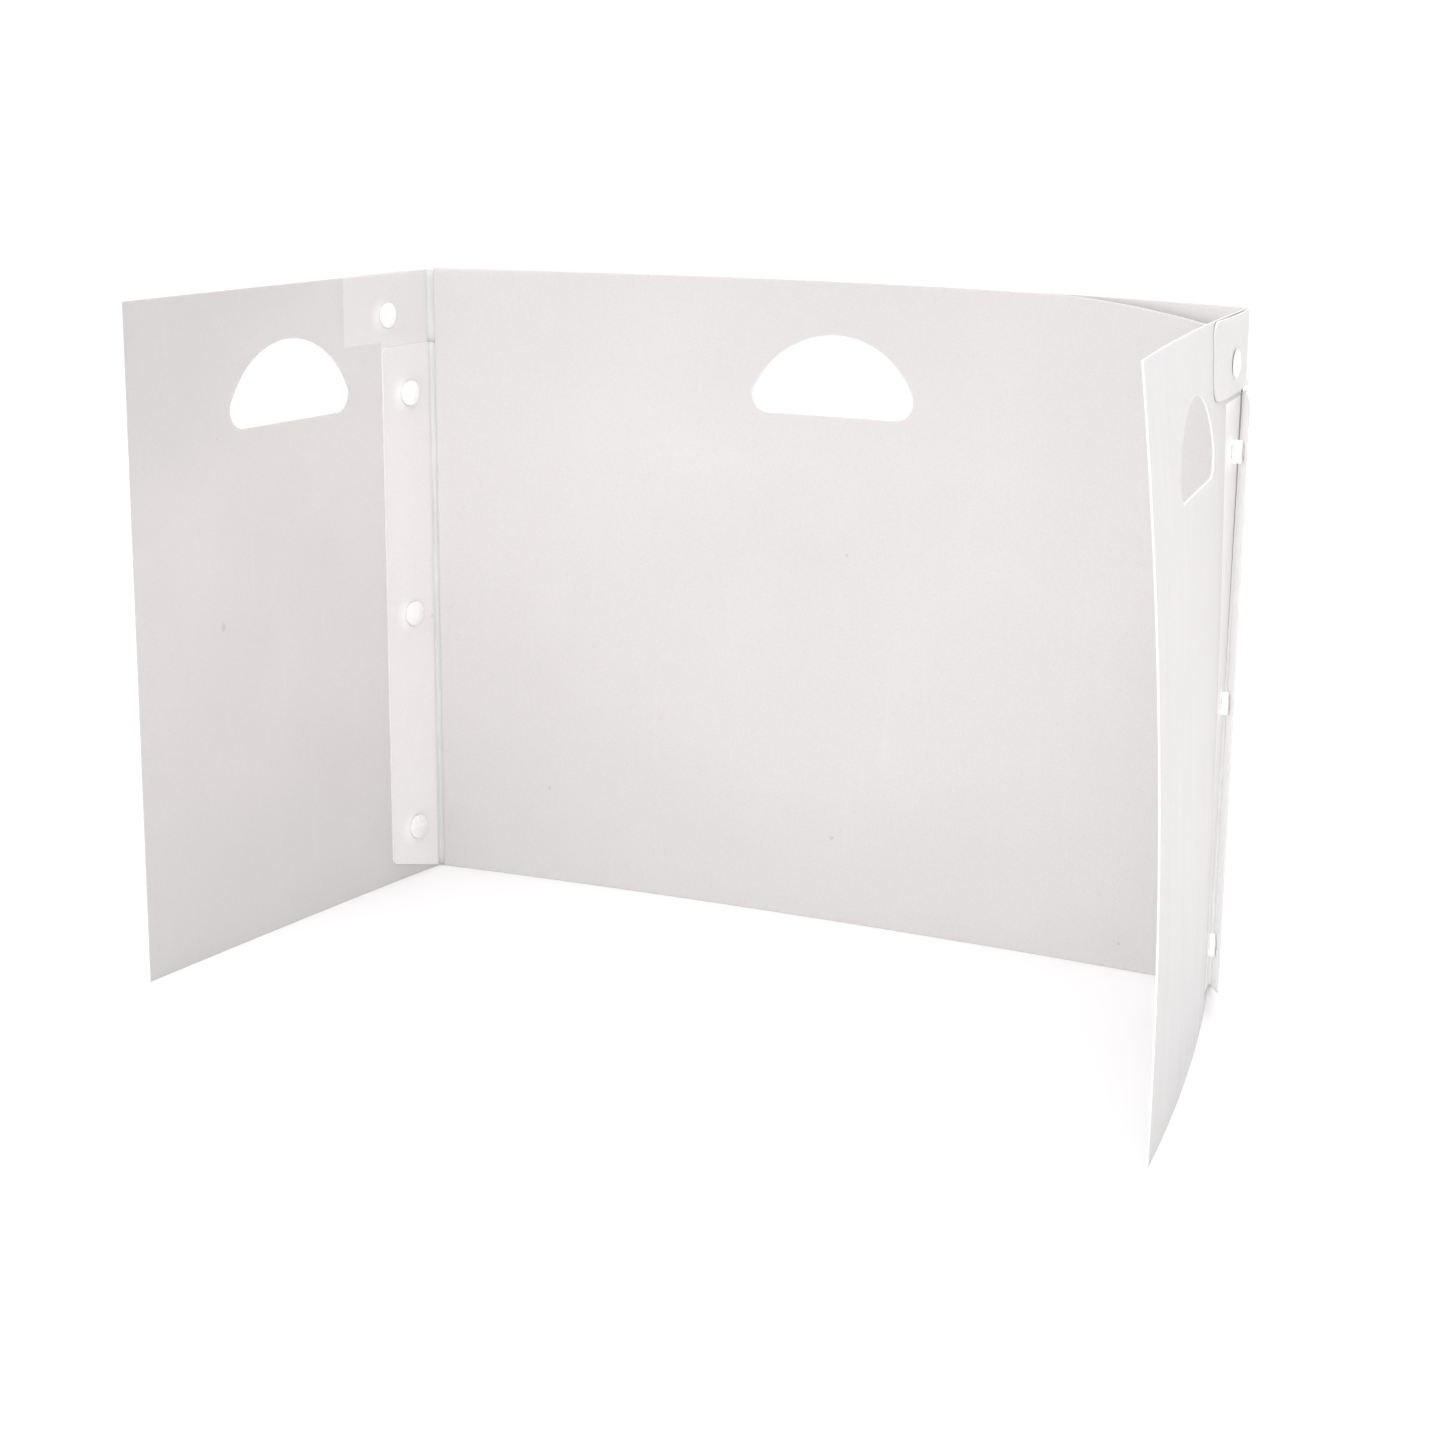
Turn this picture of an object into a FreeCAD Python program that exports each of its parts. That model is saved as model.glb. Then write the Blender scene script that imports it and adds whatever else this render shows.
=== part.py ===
"""Folding three-panel sneeze guard of frosted plastic sheet, in millimetres.

The frame's origin is on the counter, at the middle of the back panel's bottom edge.
+X runs along the back panel, +Y points behind it and +Z is up.  The side panels
come forward from the two corners, where the sheets are creased and riveted.
The document is drawn from the line between the two creases, and the finished
sub-parts are moved onto the frame's origin as they are written.
"""
import FreeCAD, Part
import math
import os
import Sketcher

doc = FreeCAD.newDocument("sneeze_guard")
sheet = doc.addObject("Spreadsheet::Sheet", "Sizes")

DRIVING_SIZES = {
    # the guard as a whole
    "height": 457.0,
    "thick": 1.2,               # every sheet
    "layer_gap": 0.1,           # air between sheets that lie together
    "crease_x": 303.5,          # the fold axes, left and right of the middle
    "crease_gap": 3.5,          # each sheet stops this far from the fold axis
    # back panel: it bows to the rear, most at the top
    "back_bow_low": 11.0,
    "back_bow_top": 54.0,
    "dip_start_x": 158.0,       # the right top corner of the back sheet sags from here
    "dip_mid": 5.0,
    "dip_end": 17.0,
    # side panels: length, flare from straight forward, and bow at three levels
    "depth": 320.0,
    "left_flare_low": 6.2,
    "left_flare_mid": 5.9,
    "left_flare_top": 5.6,
    "left_bow_low": 1.5,
    "left_bow_mid": 1.5,
    "left_bow_top": 1.5,
    "right_flare_low": 9.3,
    "right_flare_mid": 8.6,
    "right_flare_top": 5.0,
    "right_bow_low": 5.0,
    "right_bow_mid": 1.5,
    "right_bow_top": -4.0,
    # hand-holes
    "hole_radius": 67.5,
    "hole_rise": 56.5,          # from the flat floor to the top of the arc
    "hole_floor": 363.0,
    "hole_corner": 13.0,
    "side_hole_y": -157.0,
    # flanges and tabs at the corners
    "flange_width": 57.0,
    "flange_top": 404.0,
    "flange_lift": 15.0,        # the free bottom corner stands this far above the counter
    "flange_radius": 5.0,
    "outer_fold": 3.2,          # the outer crease, beyond the inner one
    "outer_flare": 18.4,
    "tab_width": 98.0,
    "tab_floor": 408.0,
    "tab_radius": 9.0,
    "tab_bulge": 2.0,
    "outer_offset_top": 8.0,    # the outer back sheet stands this far off at its top corners
    # snap rivets
    "head_diameter": 18.0,
    "head_thick": 2.6,
    "head_rim": 0.45,           # the rim's height, as a part of the head's
    "dome_reach": 0.62,         # a point on the dome, as parts of the head's radius and height
    "dome_height": 0.88,
    "stem_diameter": 8.0,
    "stem_bore": 5.0,
    "pin_diameter": 4.6,
    "rib_diameter": 15.4,
    "rib_pitch": 2.2,
    "rib_depth": 0.35,          # as a part of the pitch
    "hole_clearance": 0.4,
    "flange_rivet_y": -28.0,
    "tab_rivet_y": -49.0,
    "rivet_1_z": 427.0,
    "rivet_2_z": 369.0,
    "rivet_3_z": 204.0,
    "rivet_4_z": 38.0,
    # how far the trimming and drilling tools run past what they cut
    "tool_reach": 20.0,
    "side_reach_in": 60.0,
    "side_reach_out": 120.0,
    "drill_start": 30.0,
    "drill_length": 90.0,
}

PROBE_STEP = 4.0                # either side of the point where a sheet's flare is read
RING_POINTS = 16                # round a rivet's head, where the sheets under it are read

for row, (alias, number) in enumerate(DRIVING_SIZES.items(), start=1):
    cell = f"B{row}"
    sheet.set(f"A{row}", alias)
    sheet.set(cell, str(number))
    sheet.setAlias(cell, alias)
doc.recompute()


def size(alias):
    """A driving dimension, read back from the spreadsheet."""
    return float(getattr(sheet, alias))


def value(expression):
    """What an expression over the spreadsheet comes to, in millimetres."""
    result = sheet.evalExpression(expression)
    return float(getattr(result, "Value", result))


# ---------------------------------------------------------------- sheets

def origin_plane(body, role):
    """One of a body's own origin planes."""
    return next(item for item in body.Origin.OriginFeatures if item.Role == role)


def arc_strip(body, name, level, start, end, bow, shift):
    """A thin strip in plan, for one level of a bowed sheet.

    Its first face runs from start to end and bows by bow to the left of that way;
    its thickness lies to the same side.  shift moves both faces to that side.
    """
    sketch = body.newObject("Sketcher::SketchObject", name)
    sketch.AttachmentSupport = [(origin_plane(body, "XY_Plane"), "")]
    sketch.MapMode = "FlatFace"
    sketch.setExpression("AttachmentOffset.Base.z", level)

    run_x, run_y = f"(({end[0]}) - ({start[0]}))", f"(({end[1]}) - ({start[1]}))"
    chord = f"sqrt({run_x} ^ 2 + {run_y} ^ 2)"
    radius = f"({chord} ^ 2 / (8 * abs({bow})) + abs({bow}) / 2)"
    turn = 1 if value(bow) > 0 else -1

    def bind(kind, operands, expression):
        index = sketch.addConstraint(Sketcher.Constraint(kind, *operands, value(expression)))
        sketch.setExpression(f"Constraints[{index}]", expression)

    faces = []
    for offset in (f"({shift})", f"({shift} + Sizes.thick)"):
        ends = [(f"({x}) - {run_y} / {chord} * {offset}", f"({y}) + {run_x} / {chord} * {offset}")
                for x, y in (start, end)]
        corners = [FreeCAD.Vector(value(x), value(y), 0) for x, y in ends]
        along = (corners[1] - corners[0]).normalize()
        left = FreeCAD.Vector(-along.y, along.x, 0)
        crown = (corners[0] + corners[1]) / 2 + left * value(bow)
        face = sketch.addGeometry(Part.Arc(corners[0], crown, corners[1]), False)
        # an arc's own first point is the one that it turns from, anticlockwise
        points = (2, 1) if turn > 0 else (1, 2)
        for point, (x, y) in zip(points, ends):
            bind("DistanceX", (face, point), x)
            bind("DistanceY", (face, point), y)
        bind("Radius", (face,), radius)
        faces.append((face, points, corners))
    for index in (0, 1):
        (near, near_points, near_corners), (far, far_points, far_corners) = faces
        cap = sketch.addGeometry(
            Part.LineSegment(near_corners[index], far_corners[index]), False)
        sketch.addConstraint([
            Sketcher.Constraint("Coincident", cap, 1, near, near_points[index]),
            Sketcher.Constraint("Coincident", cap, 2, far, far_points[index]),
        ])
    return sketch


def bowed_sheet(name, levels, ruled=False):
    """A body lofted through arc strips, one for each (level, start, end, bow, shift)."""
    body = doc.addObject("PartDesign::Body", name)
    profiles = []
    for index, level in enumerate(levels):
        profiles.append(arc_strip(body, f"{name}_level_{index}", *level))
    loft = body.newObject("PartDesign::AdditiveLoft", f"{name}_loft")
    loft.Profile = profiles[0]
    loft.Sections = profiles[1:]
    loft.Ruled = ruled
    body.Tip = loft
    return body


def outline_tool(name, corners, across, span):
    """A prism that trims a sheet to an outline.

    corners are (position, z, corner radius); position is y where the prism runs
    across x, and x where it runs across y.  span is the prism's two ends.
    """
    start, end = span
    if across == "x":
        points = [FreeCAD.Vector(start, where, z) for where, z, radius in corners]
        way = FreeCAD.Vector(end - start, 0, 0)
    else:
        points = [FreeCAD.Vector(where, start, z) for where, z, radius in corners]
        way = FreeCAD.Vector(0, end - start, 0)
    solid = Part.Face(Part.makePolygon(points + points[:1])).extrude(way)
    for point, (where, z, radius) in zip(points, corners):
        if radius:
            solid = solid.makeFillet(radius, [edge_at(solid, point + way / 2)])
    tool = doc.addObject("Part::Feature", name)
    tool.Shape = solid
    return tool


def edge_at(solid, point):
    """The solid's edge that passes through a point."""
    vertex = Part.Vertex(point)
    return min(solid.Edges, key=lambda edge: edge.distToShape(vertex)[0])


def hand_hole_tool(name, across, middle, span):
    """The half-moon cutter: a flat floor, an arc above it and rounded corners."""
    radius, rise = size("hole_radius"), size("hole_rise")
    floor, start, end = size("hole_floor"), span[0], span[1]
    half = math.sqrt(radius ** 2 - (radius - rise) ** 2)
    if across == "x":
        def place(along, z):
            return FreeCAD.Vector(start, middle + along, z)
        way = FreeCAD.Vector(end - start, 0, 0)
    else:
        def place(along, z):
            return FreeCAD.Vector(middle + along, start, z)
        way = FreeCAD.Vector(0, end - start, 0)
    left, right, top = place(-half, floor), place(half, floor), place(0, floor + rise)
    wire = Part.Wire([Part.Arc(left, top, right).toShape(), Part.makeLine(right, left)])
    solid = Part.Face(wire).extrude(way)
    rounded = [edge_at(solid, corner + way / 2) for corner in (left, right)]
    tool = doc.addObject("Part::Feature", name)
    tool.Shape = solid.makeFillet(size("hole_corner"), rounded)
    return tool


def boolean(kind, name, base, tool):
    """A Part::Cut or Part::Common of two objects."""
    feature = doc.addObject(kind, name)
    feature.Base = base
    feature.Tool = tool
    return feature


def common(name, base, tool):
    return boolean("Part::Common", name, base, tool)


def cut(name, base, tool):
    return boolean("Part::Cut", name, base, tool)


NODES = {}


def keep(node, feature):
    """Names a finished sub-part, whose shape is written to parts/NODE.step."""
    feature.Label = node
    NODES[node] = feature


# ------------------------------------------------------------ back panel

CREASE = "Sizes.crease_x"
END_X = "(Sizes.crease_x - Sizes.crease_gap)"
HALF_THICK = "Sizes.thick / 2"
OVERALL = "Sizes.height"


def back_span():
    """Where, along y, the tools that trim the back sheets start and end."""
    reach = size("tool_reach")
    return (-reach, size("back_bow_top") + reach)


def make_back_panel():
    start, end = (f"-{END_X}", f"-{HALF_THICK}"), (END_X, f"-{HALF_THICK}")
    blank = bowed_sheet("back_blank", [
        ("0", start, end, "Sizes.back_bow_low", "0"),
        (OVERALL, start, end, "Sizes.back_bow_top", "0"),
    ], ruled=True)
    holed = cut("back_holed", blank, hand_hole_tool("back_hole", "y", 0, back_span()))
    keep("back_panel", cut("back_trimmed", holed, dip_tool()))


def dip_tool():
    """What the sagging right top corner of the back sheet loses, above a shallow arc."""
    front, rear = back_span()
    top, start_x, end_x = size("height"), size("dip_start_x"), size("crease_x")
    low = FreeCAD.Vector(end_x, front, top - size("dip_end"))
    mid = FreeCAD.Vector((start_x + end_x) / 2, front, top - size("dip_mid"))
    high = FreeCAD.Vector(start_x, front, top)
    above = FreeCAD.Vector(0, 0, size("dip_end"))
    edges = [Part.Arc(high, mid, low).toShape(), Part.makeLine(low, low + above),
             Part.makeLine(low + above, high + above), Part.makeLine(high + above, high)]
    tool = doc.addObject("Part::Feature", "dip")
    tool.Shape = Part.Face(Part.Wire(edges)).extrude(FreeCAD.Vector(0, rear - front, 0))
    return tool


# ------------------------------------------------------------ side sheets

SIDES = {"left": -1, "right": 1}


def side_levels(side, shift):
    """The three levels of a sheet that follows a side panel, shifted outward."""
    sign = SIDES[side]
    levels = []
    for height, level in (("0", "low"), (f"{OVERALL} / 2", "mid"), (OVERALL, "top")):
        flare = f"Sizes.{side}_flare_{level}"
        rear, front = (
            (f"{sign} * ({CREASE} + {reach} * sin({flare}))", f"-{reach} * cos({flare})")
            for reach in ("Sizes.crease_gap", "Sizes.depth"))
        ends = (rear, front) if sign > 0 else (front, rear)
        levels.append((height, *ends, f"Sizes.{side}_bow_{level}", shift))
    return levels


def side_span(side):
    """Where, along x, the tools that trim this side's sheets start and end."""
    sign = SIDES[side]
    inner = size("crease_x") - size("side_reach_in")
    outer = size("crease_x") + size("side_reach_out")
    return (inner, outer) if sign > 0 else (-outer, -inner)


def make_side_panel(side):
    outward = "Sizes.thick / 2 + Sizes.layer_gap"
    blank = bowed_sheet(f"{side}_panel_blank", side_levels(side, outward))
    hole = hand_hole_tool(f"{side}_hole", "x", size("side_hole_y"), side_span(side))
    return cut(f"{side}_panel_holed", blank, hole)


def make_inner_flange(side):
    blank = bowed_sheet(f"{side}_flange_blank", side_levels(side, f"-{HALF_THICK}"))
    width, top = size("flange_width"), size("flange_top")
    corner, behind = size("flange_radius"), size("tool_reach")
    outline = outline_tool(f"{side}_flange_outline", [
        (behind, 0, 0), (0, 0, 0), (-width, size("flange_lift"), corner),
        (-width, top, corner), (behind, top, 0),
    ], "x", side_span(side))
    return common(f"{side}_flange_trimmed", blank, outline)


# ----------------------------------------------------------- corner sheets

def make_outer_back():
    """The full-width sheet behind the back panel, which ends at the two outer folds."""
    levels = []
    for height, level in (("0", "low"), (OVERALL, "top")):
        stand_off = "Sizes.outer_offset_top" if level == "top" else "0"
        fold_x = f"({CREASE} + Sizes.thick / 2)"
        fold_y = f"{HALF_THICK} + Sizes.layer_gap + {stand_off}"
        bow = f"Sizes.back_bow_{level} - {stand_off}"
        levels.append((height, (f"-{fold_x}", fold_y), (fold_x, fold_y), bow, "0"))
    blank = bowed_sheet("outer_back", levels, ruled=True)
    hole = hand_hole_tool("outer_back_hole", "y", 0, back_span())
    keep("outer_back", cut("outer_back_cut", blank, hole))


def make_outer_flange(side):
    """The corner sheet's narrow flange, which stands off the side panel."""
    sign = SIDES[side]
    blank = doc.addObject("Part::Box", f"{side}_outer_blank")
    blank.setExpression("Length", "Sizes.thick")
    blank.setExpression("Width", "Sizes.flange_width")
    blank.setExpression("Height", "Sizes.flange_top")
    flare = math.radians(size("outer_flare"))
    fold_x = size("crease_x") + size("outer_fold")
    start = size("flange_width") + size("thick")
    if sign > 0:
        corner = FreeCAD.Vector(fold_x + start * math.sin(flare), -start * math.cos(flare), 0)
        turn = size("outer_flare")
    else:
        across = size("thick")
        corner = FreeCAD.Vector(-fold_x - start * math.sin(flare) - across * math.cos(flare),
                                -start * math.cos(flare) + across * math.sin(flare), 0)
        turn = -size("outer_flare")
    blank.Placement = FreeCAD.Placement(
        corner, FreeCAD.Rotation(FreeCAD.Vector(0, 0, 1), turn))
    width = start * math.cos(flare)
    corner_radius, behind = size("flange_radius"), size("tool_reach")
    top = size("flange_top")
    outline = outline_tool(f"{side}_outer_outline", [
        (behind, 0, 0), (0, 0, 0), (-width, size("flange_lift"), corner_radius),
        (-width, top, corner_radius), (behind, top, 0),
    ], "x", side_span(side))
    return common(f"{side}_outer_trimmed", blank, outline)


def make_corner_tab(side, panel):
    """The corner sheet's wide tab, which ends against the side panel."""
    sign = SIDES[side]
    free_y = -size("tab_width")
    fold = (f"{sign} * ({CREASE} + Sizes.outer_fold)", "-Sizes.thick")
    levels = []
    for height in ("Sizes.tab_floor", OVERALL):
        panel_x = outer_face_x(side, panel, free_y, value(height) - size("thick"))
        free = (f"{sign} * {abs(panel_x) + size('layer_gap')}", f"{free_y}")
        ends = (fold, free) if sign > 0 else (free, fold)
        levels.append((height, *ends, "Sizes.tab_bulge", "0"))
    blank = bowed_sheet(f"{side}_tab_blank", levels, ruled=True)
    floor, top, corner = size("tab_floor"), size("height"), size("tab_radius")
    behind = size("tool_reach")
    outline = outline_tool(f"{side}_tab_outline", [
        (behind, floor, 0), (free_y, floor, corner), (free_y, top, corner), (behind, top, 0),
    ], "x", side_span(side))
    return common(f"{side}_tab_trimmed", blank, outline)


# ------------------------------------------------------------------ rivets

def crossing(shape, y, z):
    """The lowest and highest x at which a line along x meets a sheet."""
    reach = 2 * size("crease_x")
    line = Part.makeLine(FreeCAD.Vector(-reach, y, z), FreeCAD.Vector(reach, y, z))
    box = line.common(shape).BoundBox
    return box.XMin, box.XMax


def outer_face_x(side, feature, y, z):
    """Where a side sheet's outer face is, at a height and a distance forward."""
    low, high = crossing(feature.Shape, y, z)
    return high if SIDES[side] > 0 else low


def inner_face_x(side, feature, y, z):
    low, high = crossing(feature.Shape, y, z)
    return low if SIDES[side] > 0 else high


def flare_of(side, feature, y, z):
    """A side sheet's flare at a point, in degrees from straight forward."""
    front = abs(outer_face_x(side, feature, y - PROBE_STEP, z))
    rear = abs(outer_face_x(side, feature, y + PROBE_STEP, z))
    return math.degrees(math.atan2(front - rear, 2 * PROBE_STEP))


def faces_round(feature, centre, axis, ring):
    """How far along the axis a sheet's two faces are, at points on a ring about it."""
    across = FreeCAD.Vector(0, 0, 1).cross(axis).normalize()
    upward = axis.cross(across)
    near, far = [], []
    for index in range(RING_POINTS):
        turn = 2 * math.pi * index / RING_POINTS
        point = centre + (across * math.cos(turn) + upward * math.sin(turn)) * ring
        line = Part.makeLine(point - axis * size("drill_start"), point + axis * size("drill_length"))
        along = [(vertex.Point - centre).dot(axis) for vertex in line.common(feature.Shape).Vertexes]
        if along:
            near.append(min(along))
            far.append(max(along))
    return near, far


def turned(name, outline, placement):
    """A body revolved about its own z axis from (radius, z) corners.

    A corner may carry a third value, which makes the edge that ends there an arc
    through the point that it gives.
    """
    body = doc.addObject("PartDesign::Body", name)
    sketch = body.newObject("Sketcher::SketchObject", f"{name}_profile")
    sketch.AttachmentSupport = [(origin_plane(body, "XZ_Plane"), "")]
    sketch.MapMode = "FlatFace"
    count = len(outline)
    for index in range(count):
        start = FreeCAD.Vector(*outline[index][:2], 0)
        following = outline[(index + 1) % count]
        end = FreeCAD.Vector(*following[:2], 0)
        if len(following) > 2:
            through = FreeCAD.Vector(*following[2], 0)
            sketch.addGeometry(Part.Arc(start, through, end), False)
        else:
            sketch.addGeometry(Part.LineSegment(start, end), False)
    revolution = body.newObject("PartDesign::Revolution", f"{name}_turned")
    revolution.Profile = sketch
    revolution.ReferenceAxis = (sketch, ["V_Axis"])
    revolution.Angle = 360
    body.Tip = revolution
    body.Placement = placement
    return body


def head_outline(rim, underside, way):
    """The corners of a shallow domed head, from its middle to its underside's rim."""
    thick = size("head_thick")
    dome = (rim * size("dome_reach"), underside + way * thick * size("dome_height"))
    shoulder = underside + way * thick * size("head_rim")
    return [(0, underside + way * thick), (rim, shoulder, dome), (rim, underside)]


def rivet(side, number, layers, with_spacer):
    """One snap rivet through layers, given from the innermost sheet to the outermost."""
    sign = SIDES[side]
    tab = number == 1
    y = size("tab_rivet_y") if tab else size("flange_rivet_y")
    z = size(f"rivet_{number}_z")
    tilt = sum(flare_of(side, layers[index], y, z) for index in (0, -1)) / 2
    axis = FreeCAD.Vector(sign * math.cos(math.radians(tilt)), math.sin(math.radians(tilt)), 0)
    centre = FreeCAD.Vector(inner_face_x(side, layers[0], y, z), y, z)
    facing = FreeCAD.Rotation(FreeCAD.Vector(0, 0, 1), axis)

    head_radius = size("head_diameter") / 2
    air = size("layer_gap") / 2
    inner_seat = min(faces_round(layers[0], centre, axis, head_radius)[0]) - air
    outer_seat = max(faces_round(layers[-1], centre, axis, head_radius)[1]) + air
    stem = size("stem_diameter") / 2
    bore = size("stem_bore") / 2
    stem_end = outer_seat - size("layer_gap")
    wall = size("thick")

    post = turned(f"{side}_post_{number}", [
        *head_outline(head_radius, inner_seat, -1),
        (stem, inner_seat), (stem, stem_end), (bore, stem_end),
        (bore, inner_seat + wall), (0, inner_seat + wall),
    ], FreeCAD.Placement(centre, facing))
    keep(f"{side}_rivet_post_{number}", post)

    pin = size("pin_diameter") / 2
    pin_end = inner_seat + 2 * wall
    cap = turned(f"{side}_cap_{number}", [
        *head_outline(head_radius, outer_seat, 1), (pin, outer_seat), (pin, pin_end), (0, pin_end),
    ], FreeCAD.Placement(centre, facing))
    keep(f"{side}_rivet_cap_{number}", cap)

    if with_spacer:
        rib = size("rib_diameter") / 2
        low = max(faces_round(layers[-2], centre, axis, rib)[1]) + air
        high = min(faces_round(layers[-1], centre, axis, rib)[0]) - air
        spacer = turned(f"{side}_spacer_{number}", ribbed_outline(low, high, rib),
                        FreeCAD.Placement(centre, facing))
        keep(f"{side}_spacer_{number}", spacer)

    drill = doc.addObject("Part::Cylinder", f"{side}_drill_{number}")
    drill.setExpression("Radius", "Sizes.stem_diameter / 2 + Sizes.hole_clearance")
    drill.setExpression("Height", "Sizes.drill_length")
    drill.Placement = FreeCAD.Placement(centre - axis * size("drill_start"), facing)
    return drill


def ribbed_outline(low, high, rib):
    """A ring with round ribs about the stem, between two distances along the axis."""
    bore = size("stem_diameter") / 2 + size("hole_clearance")
    ribs = max(2, round((high - low) / size("rib_pitch")))
    pitch = (high - low) / ribs
    root = rib - size("rib_depth") * pitch
    corners = [(bore, low), (root, low)]
    for index in range(ribs):
        middle = low + pitch * (index + 0.5)
        corners.append((root, low + pitch * (index + 1), (rib, middle)))
    corners.append((bore, high))
    return corners


def drilled(name, feature, drills):
    """A sheet with the rivets' holes cut through it, one after another."""
    for number, drill in enumerate(drills):
        feature = cut(f"{name}_drilled_{number}", feature, drill)
    return feature


def make_side(side):
    panel = make_side_panel(side)
    inner = make_inner_flange(side)
    outer = make_outer_flange(side)
    doc.recompute()
    tab = make_corner_tab(side, panel)
    doc.recompute()
    tab_drill = rivet(side, 1, [panel, tab], with_spacer=False)
    drills = [rivet(side, number, [inner, panel, outer], with_spacer=True) for number in (2, 3, 4)]
    keep(f"{side}_side_panel", drilled(f"{side}_panel", panel, [tab_drill, *drills]))
    keep(f"{side}_inner_flange", drilled(f"{side}_inner", inner, drills))
    keep(f"{side}_outer_flange", drilled(f"{side}_outer", outer, drills))
    keep(f"{side}_corner_tab", drilled(f"{side}_tab", tab, [tab_drill]))


# ------------------------------------------------------------------ output

make_back_panel()
make_outer_back()
for side_name in SIDES:
    make_side(side_name)
doc.recompute()

failed = [item.Label for item in doc.Objects if "Invalid" in item.State or "Error" in item.State]
if failed:
    raise RuntimeError(f"these objects failed: {failed}")

to_origin = FreeCAD.Vector(0, -size("back_bow_low"), 0)
os.makedirs("parts", exist_ok=True)
for node, feature in sorted(NODES.items()):
    shape = feature.Shape.translated(to_origin)
    if shape.isNull() or not shape.isValid() or not shape.Solids:
        raise RuntimeError(f"{node} has no valid solid")
    shape.exportStep(f"parts/{node}.step")
    box = shape.BoundBox
    print(f"{node:24s} volume {shape.Volume:10.1f}  solids {len(shape.Solids)}  "
          f"x {box.XMin:.1f}..{box.XMax:.1f}  y {box.YMin:.1f}..{box.YMax:.1f}  "
          f"z {box.ZMin:.1f}..{box.ZMax:.1f}")
print(f"{len(NODES)} nodes")
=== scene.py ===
import math

import bpy
from mathutils import Matrix, Vector


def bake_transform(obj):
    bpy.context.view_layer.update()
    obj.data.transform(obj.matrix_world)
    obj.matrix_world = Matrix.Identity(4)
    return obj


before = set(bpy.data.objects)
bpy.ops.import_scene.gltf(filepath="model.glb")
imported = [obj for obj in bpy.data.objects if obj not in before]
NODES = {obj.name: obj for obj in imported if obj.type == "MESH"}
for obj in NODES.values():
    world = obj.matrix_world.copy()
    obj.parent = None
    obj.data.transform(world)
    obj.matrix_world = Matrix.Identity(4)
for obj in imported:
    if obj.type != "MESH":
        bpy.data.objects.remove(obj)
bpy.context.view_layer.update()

SIDES = {"left": -1.0, "right": 1.0}
MM = 0.001

# Sizes that repeat the CAD's, in metres.
HEIGHT = 457.0 * MM
FLANGE_TOP = 404.0 * MM
FLANGE_FOOT = -2.9 * MM
FLANGE_SLANT = 15.0 / 57.0
TAB_FLOOR = 408.0 * MM
UPPER_TOP = {"left": HEIGHT, "right": HEIGHT - 17.0 * MM}
TAB_FREE_Y = -108.5 * MM
FLANGE_FREE_Y = -67.6 * MM
GROOVE_Y = -65.0 * MM
OUTER_STAND = 8.0 * MM          # how far the outer back sheet stands off at its top corners

# Places, in mm of y and z, where a painted pale cloud stands for a rivet's far head showing beside
# the near one.
HALO_PLACES = ((-66.0, 427.0), (-45.5, 369.0), (-45.5, 204.0), (-45.5, 38.0))

POLYPROPYLENE_IOR = 1.49
NYLON_IOR = 1.53
# Painted glow: the tint and strength of emission that stands in for the light which the sheets
# carry into their shut grooves.
PAINTED_GLOW_TINT = (1.0, 0.985, 0.98, 1.0)
PAINTED_GROOVE_GLOW = 0.34

# Painted shade: how a sheet's brightness is stepped at its foot, at two levels between, and at its
# top, as the light falls on it.
LEVELS_BETWEEN = (0.30, 0.72)
EVEN_PAINTED_SHADE = (0.955, 1.0, 1.0, 0.92)
PAINTED_LIGHT_TOWARD_FOOT = (1.0, 0.97, 0.915, 0.83)
PAINTED_LIGHT_TOWARD_TOP = (0.885, 0.955, 0.99, 1.0)


# ------------------------------------------------------------------ materials

def shader(name):
    """A material with one principled shader, and shortcuts to its nodes and links."""
    material = bpy.data.materials.new(name)
    material.use_nodes = True
    tree = material.node_tree
    principled = tree.nodes["Principled BSDF"]
    coordinates = tree.nodes.new("ShaderNodeTexCoord")
    return material, tree, principled, coordinates


def noise(tree, coordinates, scale, detail=2.0, roughness=0.5, stretch=(1.0, 1.0, 1.0)):
    """The value of a noise texture laid out in the object's own metres."""
    mapping = tree.nodes.new("ShaderNodeMapping")
    mapping.inputs["Scale"].default_value = stretch
    texture = tree.nodes.new("ShaderNodeTexNoise")
    texture.inputs["Scale"].default_value = scale
    texture.inputs["Detail"].default_value = detail
    texture.inputs["Roughness"].default_value = roughness
    tree.links.new(coordinates.outputs["Object"], mapping.inputs["Vector"])
    tree.links.new(mapping.outputs["Vector"], texture.inputs["Vector"])
    return texture.outputs["Fac"]


def ramp(tree, source, low, high, first, last):
    """Maps source from low..high onto two colours."""
    node = tree.nodes.new("ShaderNodeValToRGB")
    node.color_ramp.elements[0].position = low
    node.color_ramp.elements[1].position = high
    node.color_ramp.elements[0].color = (*first, 1.0)
    node.color_ramp.elements[1].color = (*last, 1.0)
    tree.links.new(source, node.inputs["Fac"])
    return node.outputs["Color"]


def scaled(tree, source, low, high, first, last):
    """Maps source from low..high onto two numbers."""
    node = tree.nodes.new("ShaderNodeMapRange")
    node.inputs["From Min"].default_value = low
    node.inputs["From Max"].default_value = high
    node.inputs["To Min"].default_value = first
    node.inputs["To Max"].default_value = last
    tree.links.new(source, node.inputs["Value"])
    return node.outputs["Result"]


def mixed(tree, mode, factor, first, second):
    """Two colours mixed; factor is a number or a socket."""
    node = tree.nodes.new("ShaderNodeMix")
    node.data_type = "RGBA"
    node.blend_type = mode
    if isinstance(factor, float):
        node.inputs["Factor"].default_value = factor
    else:
        tree.links.new(factor, node.inputs["Factor"])
    tree.links.new(first, node.inputs["A"])
    tree.links.new(second, node.inputs["B"])
    return node.outputs["Result"]


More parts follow.
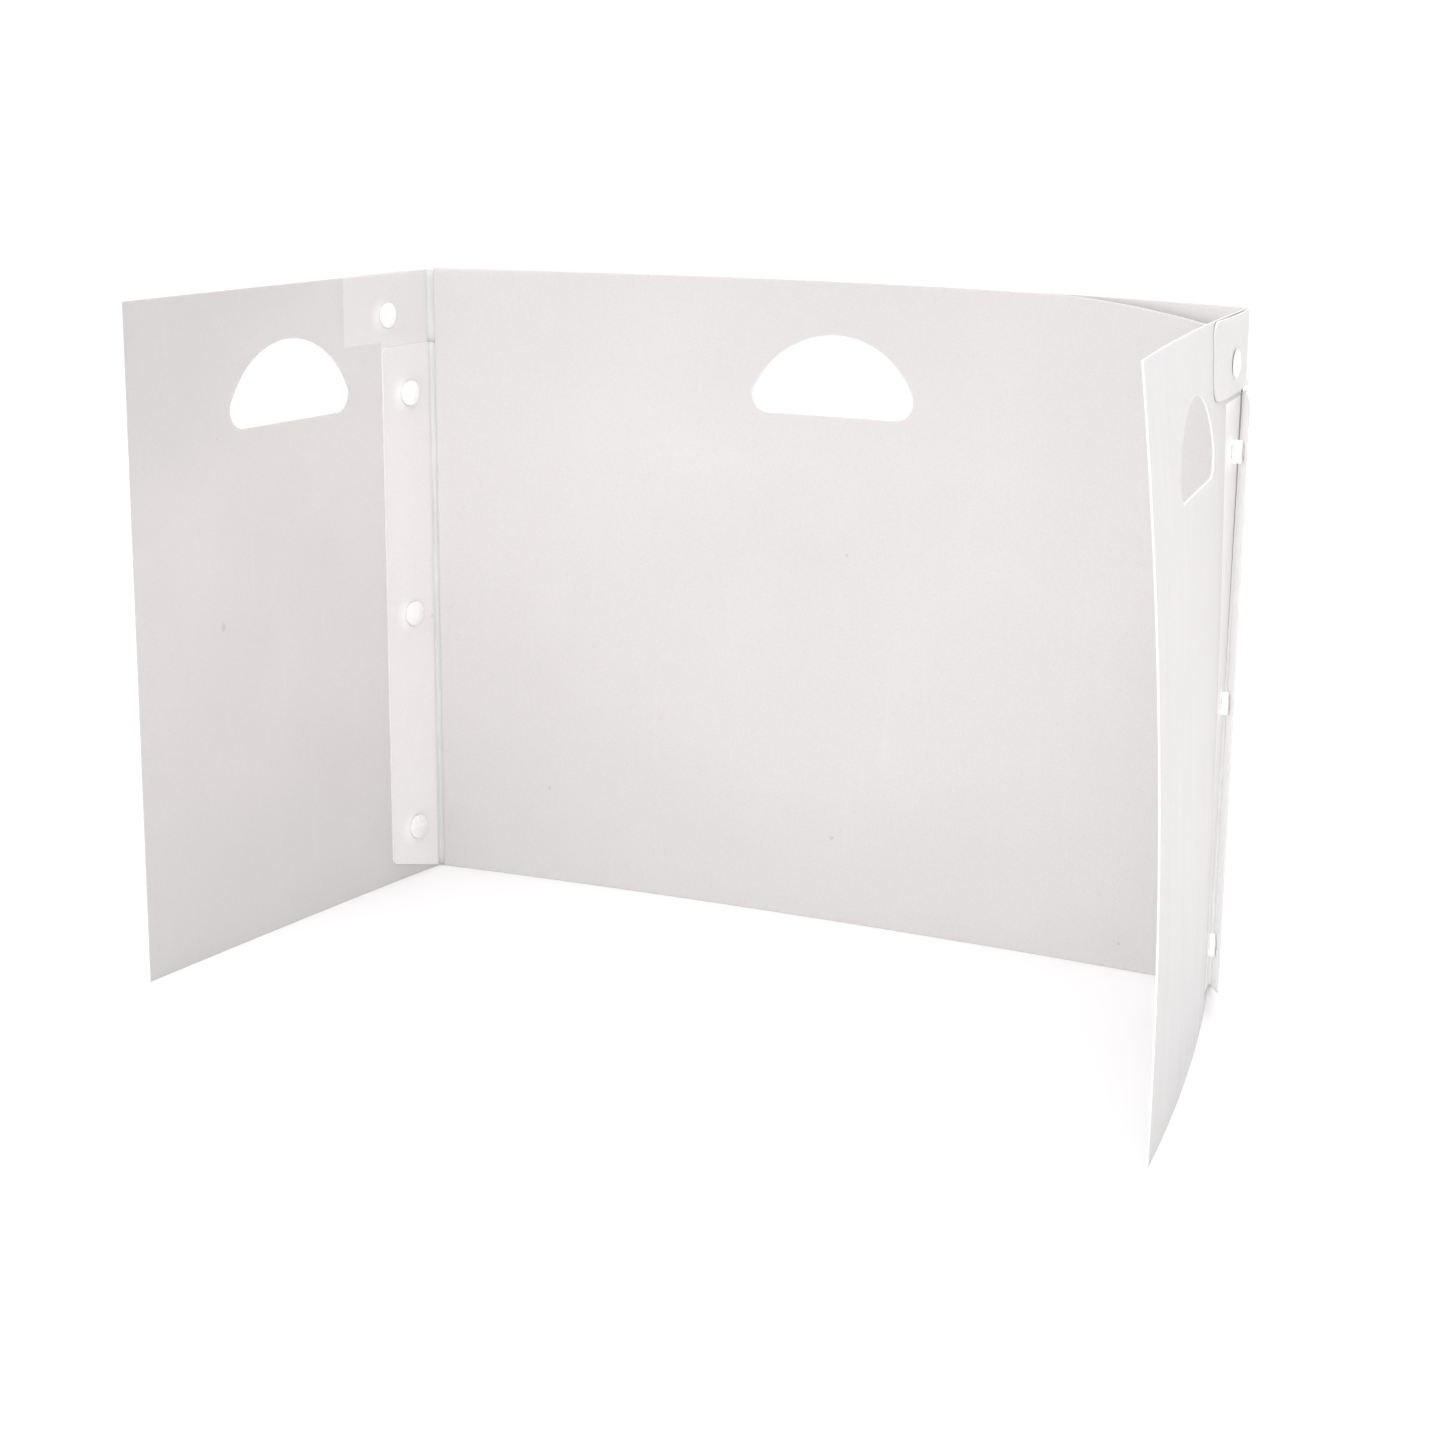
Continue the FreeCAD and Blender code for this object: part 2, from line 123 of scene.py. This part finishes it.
def bumped(tree, principled, heights):
    """Bumps stacked one on another: (height, distance in metres, strength) each."""
    normal = None
    for height, distance, strength in heights:
        node = tree.nodes.new("ShaderNodeBump")
        node.inputs["Distance"].default_value = distance
        node.inputs["Strength"].default_value = strength
        tree.links.new(height, node.inputs["Height"])
        if normal is not None:
            tree.links.new(normal, node.inputs["Normal"])
        normal = node.outputs["Normal"]
    tree.links.new(normal, principled.inputs["Normal"])


def grey(level, warmth=0.0):
    """A grey, with its red raised by warmth."""
    return (level + warmth, level, level)


def beyond(tree, value, limit, softness):
    """1 where value is over limit, 0 where it is under, and smooth between."""
    return scaled(tree, value, limit - softness, limit + softness, 0.0, 1.0)


def product(tree, first, second):
    """Two sockets multiplied."""
    node = tree.nodes.new("ShaderNodeMath")
    node.operation = "MULTIPLY"
    tree.links.new(first, node.inputs[0])
    tree.links.new(second, node.inputs[1])
    return node.outputs["Value"]


def largest(tree, values):
    """The largest of several sockets."""
    result = values[0]
    for value in values[1:]:
        node = tree.nodes.new("ShaderNodeMath")
        node.operation = "MAXIMUM"
        tree.links.new(result, node.inputs[0])
        tree.links.new(value, node.inputs[1])
        result = node.outputs["Value"]
    return result


def painted_light_zones(tree, coordinates):
    """Masks of painted light on a side panel: where a tab or a flange lies against it, painted
    paler, and where both flanges hide it, painted with a glow.
    """
    split = tree.nodes.new("ShaderNodeSeparateXYZ")
    tree.links.new(coordinates.outputs["Object"], split.inputs["Vector"])
    y, z = split.outputs["Y"], split.outputs["Z"]
    soft = 0.6 * MM
    tab = product(tree, beyond(tree, y, TAB_FREE_Y, soft), beyond(tree, z, TAB_FLOOR, soft))
    slant = tree.nodes.new("ShaderNodeMath")
    slant.operation = "MULTIPLY_ADD"
    slant.inputs[1].default_value = FLANGE_SLANT
    tree.links.new(y, slant.inputs[0])
    tree.links.new(z, slant.inputs[2])
    above = beyond(tree, slant.outputs["Value"], FLANGE_FOOT + soft, soft)
    below_tab = scaled(tree, z, TAB_FLOOR + soft, TAB_FLOOR + 3 * soft, 1.0, 0.0)
    flange = product(tree, beyond(tree, y, FLANGE_FREE_Y, soft), product(tree, below_tab, above))
    below_top = scaled(tree, z, FLANGE_TOP - 4 * soft, FLANGE_TOP - 2 * soft, 1.0, 0.0)
    painted_glow_zone = product(tree, beyond(tree, y, GROOVE_Y, soft), product(tree, below_top, above))
    return largest(tree, [tab, flange]), painted_glow_zone


def halos(tree, coordinates):
    """Painted pale clouds on the sheets where the rivets' far heads show through the frosting."""
    flat = tree.nodes.new("ShaderNodeVectorMath")
    flat.operation = "MULTIPLY"
    flat.inputs[1].default_value = (0.0, 1.0, 1.0)
    tree.links.new(coordinates.outputs["Object"], flat.inputs[0])
    clouds = []
    for y, z in HALO_PLACES:
        gap = tree.nodes.new("ShaderNodeVectorMath")
        gap.operation = "DISTANCE"
        gap.inputs[1].default_value = (0.0, y * MM, z * MM)
        tree.links.new(flat.outputs["Vector"], gap.inputs[0])
        clouds.append(scaled(tree, gap.outputs["Value"], 5.0 * MM, 14.0 * MM, 1.0, 0.0))
    return largest(tree, clouds)


def painted_height_shade(tree, coordinates, height_shade_steps):
    """Painted shade: how a sheet's brightness changes up it as the light falls, not the frosting's
    own tone; its foot and top are a little less warm.
    """
    split = tree.nodes.new("ShaderNodeSeparateXYZ")
    tree.links.new(coordinates.outputs["Object"], split.inputs["Vector"])
    node = tree.nodes.new("ShaderNodeValToRGB")
    tree.links.new(scaled(tree, split.outputs["Z"], 0.0, HEIGHT, 0.0, 1.0), node.inputs["Fac"])
    stops = node.color_ramp.elements
    stops[0].position, stops[0].color = 0.0, (*grey(height_shade_steps[0], -0.012), 1.0)
    stops[1].position, stops[1].color = 1.0, (*grey(height_shade_steps[3], -0.008), 1.0)
    for position, tone in zip(LEVELS_BETWEEN, height_shade_steps[1:3]):
        stop = stops.new(position)
        stop.color = (*grey(tone), 1.0)
    return node.outputs["Color"]


def painted_axis_gradient(tree, coordinates, axis, low, high, first, last):
    """Painted shade: a slow change of brightness along an axis, as a factor."""
    split = tree.nodes.new("ShaderNodeSeparateXYZ")
    tree.links.new(coordinates.outputs["Object"], split.inputs["Vector"])
    return scaled(tree, split.outputs[axis], low, high, first, last)


def frosted(name, level, opacity, seed, depth, warmth=0.025, painted_pale_level=None, riveted=False,
            height_shade_steps=EVEN_PAINTED_SHADE, painted_axis_shade=None):
    """Frosted polypropylene sheet: matte grain, faint clouding, scuffs and specks.

    depth is how far light gets in the plastic before it scatters, in millimetres.
    whitened is a paler level, painted where another layer lies against the sheet, if any does:
    painted light for the layer behind.
    riveted sheets carry painted pale clouds where the rivets' far heads show through the frosting.
    tones is the painted shade from the sheet's foot to its top, and paling is a painted shade
    along another axis: (axis, low, high, first factor, last factor).
    """
    material, tree, principled, coordinates = shader(name)
    cloud = noise(tree, coordinates, 5.0 + seed, 3.0, 0.55)
    grain = noise(tree, coordinates, 950.0, 2.0, 0.6)
    emboss = noise(tree, coordinates, 2300.0, 1.0, 0.5)
    scuff = noise(tree, coordinates, 60.0, 4.0, 0.7, (1.0, 1.0, 0.12))
    speck = noise(tree, coordinates, 140.0 + seed, 0.0, 0.5)
    body = ramp(tree, cloud, 0.3, 0.7, grey(level - 0.015, warmth), grey(level + 0.015, warmth))
    # Painted light: paler where another layer lies behind the sheet, and a painted glow in the
    # shut groove.
    if painted_pale_level:
        painted_pale_body = ramp(tree, cloud, 0.3, 0.7, grey(painted_pale_level - 0.015, warmth),
                       grey(painted_pale_level + 0.015, warmth))
        painted_pale_zone, painted_glow_zone = painted_light_zones(tree, coordinates)
        body = mixed(tree, "MIX", painted_pale_zone, body, painted_pale_body)
        glow = scaled(tree, painted_glow_zone, 0.0, 1.0, 0.0, PAINTED_GROOVE_GLOW)
        principled.inputs["Emission Color"].default_value = PAINTED_GLOW_TINT
        tree.links.new(glow, principled.inputs["Emission Strength"])
    grains = ramp(tree, grain, 0.35, 0.65, grey(0.94), grey(1.0))
    scuffs = ramp(tree, scuff, 0.62, 0.80, grey(0.0), grey(0.09))
    specks = ramp(tree, speck, 0.885, 0.90, grey(1.0), grey(0.86))
    colour = mixed(tree, "MULTIPLY", 1.0, body, grains)
    colour = mixed(tree, "MULTIPLY", 1.0, colour, specks)
    colour = mixed(tree, "SCREEN", 1.0, colour, scuffs)
    # Painted shade up the sheet, and along another axis where one is given.
    colour = mixed(tree, "MULTIPLY", 1.0, colour, painted_height_shade(tree, coordinates, height_shade_steps))
    if painted_axis_shade:
        colour = mixed(tree, "MULTIPLY", 1.0, colour, painted_axis_gradient(tree, coordinates, *painted_axis_shade))
    # Painted pale halos where the rivets' far heads show through.
    if riveted:
        pale = ramp(tree, halos(tree, coordinates), 0.0, 1.0, grey(0.0), grey(0.40))
        colour = mixed(tree, "SCREEN", 1.0, colour, pale)
    tree.links.new(colour, principled.inputs["Base Color"])
    tree.links.new(scaled(tree, scuff, 0.3, 0.75, 0.58, 0.44), principled.inputs["Roughness"])
    principled.inputs["IOR"].default_value = POLYPROPYLENE_IOR
    principled.inputs["Specular IOR Level"].default_value = 0.45
    principled.inputs["Alpha"].default_value = opacity
    principled.inputs["Subsurface Weight"].default_value = 1.0
    principled.inputs["Subsurface Radius"].default_value = (1.0, 1.0, 1.0)
    principled.inputs["Subsurface Scale"].default_value = depth * MM
    bumped(tree, principled, [(grain, 0.06 * MM, 0.35), (emboss, 0.03 * MM, 0.30)])
    return material


def cut_edge(name, level):
    """The sheet's cut edge, painted paler as a highlight for the light that it gathers, and
    showing the knife's fine lines.
    """
    material, tree, principled, coordinates = shader(name)
    drag = noise(tree, coordinates, 900.0, 2.0, 0.6, (1.0, 1.0, 0.25))
    cloud = noise(tree, coordinates, 24.0, 2.0, 0.5)
    body = ramp(tree, cloud, 0.3, 0.7, grey(level - 0.03), grey(level))
    lines = ramp(tree, drag, 0.35, 0.65, grey(0.93), grey(1.0))
    colour = mixed(tree, "MULTIPLY", 1.0, body, lines)
    tree.links.new(colour, principled.inputs["Base Color"])
    tree.links.new(scaled(tree, drag, 0.3, 0.7, 0.30, 0.48), principled.inputs["Roughness"])
    principled.inputs["IOR"].default_value = POLYPROPYLENE_IOR
    bumped(tree, principled, [(drag, 0.08 * MM, 0.5)])
    return material


def creased(name, level, opacity, glow):
    """The bent web of a crease, with fine lines along the fold.

    glow is painted light: emission that stands in for the light that the sheets carry into a fold
    that they shut in.
    """
    material, tree, principled, coordinates = shader(name)
    strain = noise(tree, coordinates, 420.0, 3.0, 0.65, (1.0, 1.0, 0.06))
    cloud = noise(tree, coordinates, 30.0, 2.0, 0.5)
    body = ramp(tree, cloud, 0.3, 0.7, grey(level - 0.02), grey(level + 0.02))
    lines = ramp(tree, strain, 0.40, 0.62, grey(0.94), grey(1.0))
    colour = mixed(tree, "MULTIPLY", 1.0, body, lines)
    tree.links.new(colour, principled.inputs["Base Color"])
    tree.links.new(scaled(tree, strain, 0.3, 0.7, 0.52, 0.38), principled.inputs["Roughness"])
    principled.inputs["IOR"].default_value = POLYPROPYLENE_IOR
    principled.inputs["Alpha"].default_value = opacity
    principled.inputs["Subsurface Weight"].default_value = 1.0
    principled.inputs["Subsurface Radius"].default_value = (1.0, 1.0, 1.0)
    principled.inputs["Subsurface Scale"].default_value = 2.0 * MM
    principled.inputs["Emission Color"].default_value = PAINTED_GLOW_TINT
    principled.inputs["Emission Strength"].default_value = glow
    bumped(tree, principled, [(strain, 0.12 * MM, 0.45)])
    return material


def moulded(name, level, seed, glow):
    """White moulded nylon: a smooth skin with faint flow marks and handling haze.

    glow is painted light: emission that stands in for the light that reaches a part shut in
    between the translucent sheets.
    """
    material, tree, principled, coordinates = shader(name)
    flow = noise(tree, coordinates, 160.0 + seed, 2.0, 0.5, (1.0, 1.0, 0.5))
    skin = noise(tree, coordinates, 1500.0, 2.0, 0.5)
    body = ramp(tree, flow, 0.3, 0.7, (level - 0.02, level - 0.03, level - 0.035),
                (level + 0.01, level, level - 0.005))
    tree.links.new(body, principled.inputs["Base Color"])
    tree.links.new(scaled(tree, flow, 0.3, 0.7, 0.22, 0.36), principled.inputs["Roughness"])
    principled.inputs["IOR"].default_value = NYLON_IOR
    principled.inputs["Emission Color"].default_value = PAINTED_GLOW_TINT
    principled.inputs["Emission Strength"].default_value = glow
    principled.inputs["Subsurface Weight"].default_value = 0.15
    principled.inputs["Subsurface Radius"].default_value = (1.0, 0.9, 0.85)
    principled.inputs["Subsurface Scale"].default_value = 1.5 * MM
    bumped(tree, principled, [(flow, 0.15 * MM, 0.15), (skin, 0.02 * MM, 0.25)])
    return material


# All these sheets are one frosted polypropylene; their levels differ as painted light and shade,
# each set paler or darker for how the light falls on it and through it.
SHEET = {
    "back": frosted("frosted_back", 0.752, 0.95, 0.0, 1.2, 0.026,
                    painted_axis_shade=("X", -0.30, 0.15, 0.978, 1.003)),
    "outer": frosted("frosted_outer", 0.80, 0.95, 4.4, 1.2, 0.026),
    "left": frosted("frosted_left", 0.640, 0.90, 1.3, 1.5, 0.024, 0.720, True,
                    painted_axis_shade=("Y", -0.33, -0.07, 0.975, 1.055)),
    "right": frosted("frosted_right", 0.60, 0.90, 2.1, 1.5, 0.018, 0.65, True, PAINTED_LIGHT_TOWARD_TOP),
    "flange": frosted("frosted_flange", 0.835, 0.95, 3.7, 1.5, 0.026, None, True, PAINTED_LIGHT_TOWARD_FOOT),
    "corner": frosted("frosted_corner", 0.90, 0.80, 5.2, 12.0),
    "tab": frosted("frosted_tab", 0.66, 0.92, 6.1, 2.0),
}
EDGE = cut_edge("cut_edge", 0.84)
# The crease web comes in two copies: the groove's is paler and carries a strong painted glow, the
# other a faint one; both are painted light.
CREASE = creased("creased_web", 0.71, 0.97, 0.025)
GROOVE = creased("creased_web_groove", 0.80, 0.97, 0.40)
RIVET = moulded("rivet_nylon", 0.86, 0.0, 0.0)
# The spacers carry a painted glow for the light that reaches them between the sheets.
SPACER = moulded("spacer_nylon", 0.90, 11.0, 0.4)


def dress(node, material, across):
    """Sheet material on a node's faces and the edge material round its cut edges.

    across is the index of the axis that the sheet's faces look along.
    """
    mesh = NODES[node].data
    mesh.materials.clear()
    mesh.materials.append(material)
    mesh.materials.append(EDGE)
    for face in mesh.polygons:
        face.material_index = 0 if abs(face.normal[across]) > 0.7 else 1


dress("back_panel", SHEET["back"], 1)
dress("outer_back", SHEET["outer"], 1)
for side in SIDES:
    dress(f"{side}_side_panel", SHEET[side], 0)
    dress(f"{side}_inner_flange", SHEET["flange"], 0)
    dress(f"{side}_outer_flange", SHEET["corner"], 0)
    dress(f"{side}_corner_tab", SHEET["tab"], 0)
    for name, node in NODES.items():
        if name.startswith(side) and ("rivet" in name or "spacer" in name):
            node.data.materials.clear()
            node.data.materials.append(SPACER if "spacer" in name else RIVET)


# ------------------------------------------------------------------ creases

def arc_between(start, start_way, end, end_way, steps):
    """Points in plan on a smooth bend that leaves and arrives in the given directions."""
    start, end = Vector(start), Vector(end)
    reach = (end - start).length * 0.55
    first = start + Vector(start_way) * reach
    last = end - Vector(end_way) * reach
    points = []
    for index in range(steps + 1):
        t = index / steps
        u = 1.0 - t
        points.append(u ** 3 * start + 3 * u * u * t * first + 3 * u * t * t * last + t ** 3 * end)
    return points


WEB_STEPS = 10


def web(name, low, high, levels, profile_at, body, lining):
    """The web of sheet that bends across a crease, from one cut edge to the other.

    profile_at gives the bay-side and far-side points in plan at a height.
    lining is the material of the bay side.
    """
    vertices, faces, lined, cut = [], [], [], []
    for level in range(levels + 1):
        z = low + (high - low) * level / levels
        for points in profile_at(z):
            vertices += [(point.x, point.y, z) for point in points]
    column = WEB_STEPS + 1
    row = 2 * column
    for level in range(levels):
        base = level * row
        for index in range(WEB_STEPS):
            a = base + index
            lined.append(len(faces))
            faces.append((a, a + 1, a + 1 + row, a + row))
            b = a + column
            faces.append((b, b + row, b + 1 + row, b + 1))
    for level in (0, levels):
        base = level * row
        for index in range(WEB_STEPS):
            a = base + index
            b = a + column
            cut.append(len(faces))
            faces.append((a, b, b + 1, a + 1) if level == 0 else (a, a + 1, b + 1, b))
    mesh = bpy.data.meshes.new(name)
    mesh.from_pydata(vertices, [], faces)
    for material in (CREASE, EDGE, lining):
        mesh.materials.append(material)
    for face in mesh.polygons:
        face.use_smooth = True
    for index in cut:
        mesh.polygons[index].material_index = 1
        mesh.polygons[index].use_smooth = False
    for index in lined:
        mesh.polygons[index].material_index = 2
    if body == "left_side":
        mesh.flip_normals()
    piece = bpy.data.objects.new(name, mesh)
    bpy.context.scene.collection.objects.link(piece)
    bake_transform(piece)


# Where the sheets are cut short of the right-hand fold, in plan: bay face, then far face.
BACK_END = ((0.3000, -0.0116), (0.3000, -0.0104))
FLANGE_END = ((0.30328, -0.01454), (0.30447, -0.01441))
PANEL_END = ((0.30454, -0.0144), (0.3057, -0.0143))
OUTER_BACK_END = ((0.3041, -0.0103), (0.3042, -0.0091))
OUTER_FLANGE_END = ((0.30708, -0.01214), (0.30822, -0.01176))
TAB_END = ((0.3067, -0.0122), (0.3079, -0.0121))

# Each web of a corner: the cut ends that it joins, the way that it leaves and arrives, how far
# its rear end stands off at the top, the two ends of its blend, its rows and its bay side.
CREASES = {
    "inner": (BACK_END, FLANGE_END, (1, 0), (0.09, -1), 0.0,
              (0.3000, -0.0110), (0.3038, -0.0144), 60, CREASE),
    "upper": (BACK_END, PANEL_END, (1, 0), (0.09, -1), 0.0,
              (0.3000, -0.0110), (0.3050, -0.0143), 8, CREASE),
    "outer": (OUTER_BACK_END, OUTER_FLANGE_END, (1, 0.15), (0.32, -0.95), OUTER_STAND,
              (0.3041, -0.0095), (0.3072, -0.0119), 60, GROOVE),
    "tab": (OUTER_BACK_END, TAB_END, (1, 0.1), (0.1, -1), OUTER_STAND,
            (0.3041, -0.0030), (0.3065, -0.0118), 8, CREASE),
}


def crease_span(name, side):
    """The heights between which a web runs."""
    return {
        "inner": (0.9 * MM, FLANGE_TOP),
        "upper": (FLANGE_TOP + 0.1 * MM, UPPER_TOP[side]),
        "outer": (0.3 * MM, FLANGE_TOP),
        "tab": (TAB_FLOOR, HEIGHT),
    }[name]


def plan(sign, x, y):
    """A point or a direction in plan, given for the right side."""
    return (sign * x, y, 0.0)


def make_crease(name, side):
    """One web of one corner."""
    sign = SIDES[side]
    rear, front, leaving, arriving, stand_off, start, end, rows, lining = CREASES[name]

    def profile(z):
        stand = stand_off * z / HEIGHT
        return [arc_between(plan(sign, rear_x, rear_y + stand), plan(sign, *leaving),
                            plan(sign, *front_point), plan(sign, *arriving), WEB_STEPS)
                for (rear_x, rear_y), front_point in zip(rear, front)]

    low, high = crease_span(name, side)
    web(f"{side}_{name}_crease", low, high, rows, profile, f"{side}_side",
        lining)


for side in SIDES:
    for crease_name in CREASES:
        make_crease(crease_name, side)


# ------------------------------------------------------------------ studio

def area_light(name, place, target, width, height, energy):
    """A rectangular softbox that points at its target."""
    data = bpy.data.lights.new(name, "AREA")
    data.shape = "RECTANGLE"
    data.size = width
    data.size_y = height
    data.energy = energy
    light = bpy.data.objects.new(name, data)
    light.location = place
    light.rotation_euler = (Vector(target) - Vector(place)).to_track_quat("-Z", "Y").to_euler()
    bpy.context.scene.collection.objects.link(light)


def make_floor():
    """A plain pale floor, just under the guard."""
    material, tree, principled, coordinates = shader("studio_floor")
    cloud = noise(tree, coordinates, 3.0, 2.0, 0.5)
    body = ramp(tree, cloud, 0.3, 0.7, grey(0.98), grey(0.99))
    tree.links.new(body, principled.inputs["Base Color"])
    principled.inputs["Roughness"].default_value = 0.8
    principled.inputs["Specular IOR Level"].default_value = 0.2
    half = 8.0
    mesh = bpy.data.meshes.new("studio_floor")
    mesh.from_pydata([(-half, -half, 0), (half, -half, 0), (half, half, 0), (-half, half, 0)],
                     [], [(0, 1, 2, 3)])
    mesh.materials.append(material)
    floor = bpy.data.objects.new("studio_floor", mesh)
    floor.location.z = -0.2 * MM
    bpy.context.scene.collection.objects.link(floor)


make_floor()

world = bpy.data.worlds.new("studio")
world.use_nodes = True
world.node_tree.nodes["Background"].inputs["Color"].default_value = (1.0, 0.995, 0.995, 1.0)
world.node_tree.nodes["Background"].inputs["Strength"].default_value = 1.04
bpy.context.scene.world = world

area_light("key_front", (0.2, -2.2, 1.7), (0.0, 0.0, 0.25), 1.6, 1.2, 14.0)
area_light("fill_right", (2.0, -0.2, 1.1), (0.2, -0.1, 0.25), 1.2, 1.2, 10.0)
area_light("top", (0.0, 0.1, 2.3), (0.0, 0.0, 0.0), 1.8, 1.8, 10.0)

bpy.context.scene.view_settings.view_transform = "Standard"
bpy.context.scene.view_settings.look = "None"


# ------------------------------------------------------------------ camera

def make_camera():
    """A camera to the right of the guard, a little above it, that looks down into the bay."""
    yaw, pitch, roll = math.radians(25.37), math.radians(14.24), math.radians(0.46)
    forward = Vector((-math.sin(yaw) * math.cos(pitch), math.cos(yaw) * math.cos(pitch),
                      -math.sin(pitch)))
    level = Vector((math.cos(yaw), math.sin(yaw), 0.0))
    rise = level.cross(forward)
    right = math.cos(roll) * level + math.sin(roll) * rise
    up = right.cross(forward)
    data = bpy.data.cameras.new("camera")
    data.sensor_width = 36.0
    data.lens = 66.03
    data.clip_start = 0.05
    data.clip_end = 60.0
    camera = bpy.data.objects.new("camera", data)
    rotation = Matrix((right, up, -forward)).transposed()
    camera.matrix_world = Matrix.Translation((0.7362, -1.6955, 0.6146)) @ rotation.to_4x4()
    bpy.context.scene.collection.objects.link(camera)
    bpy.context.scene.camera = camera


make_camera()
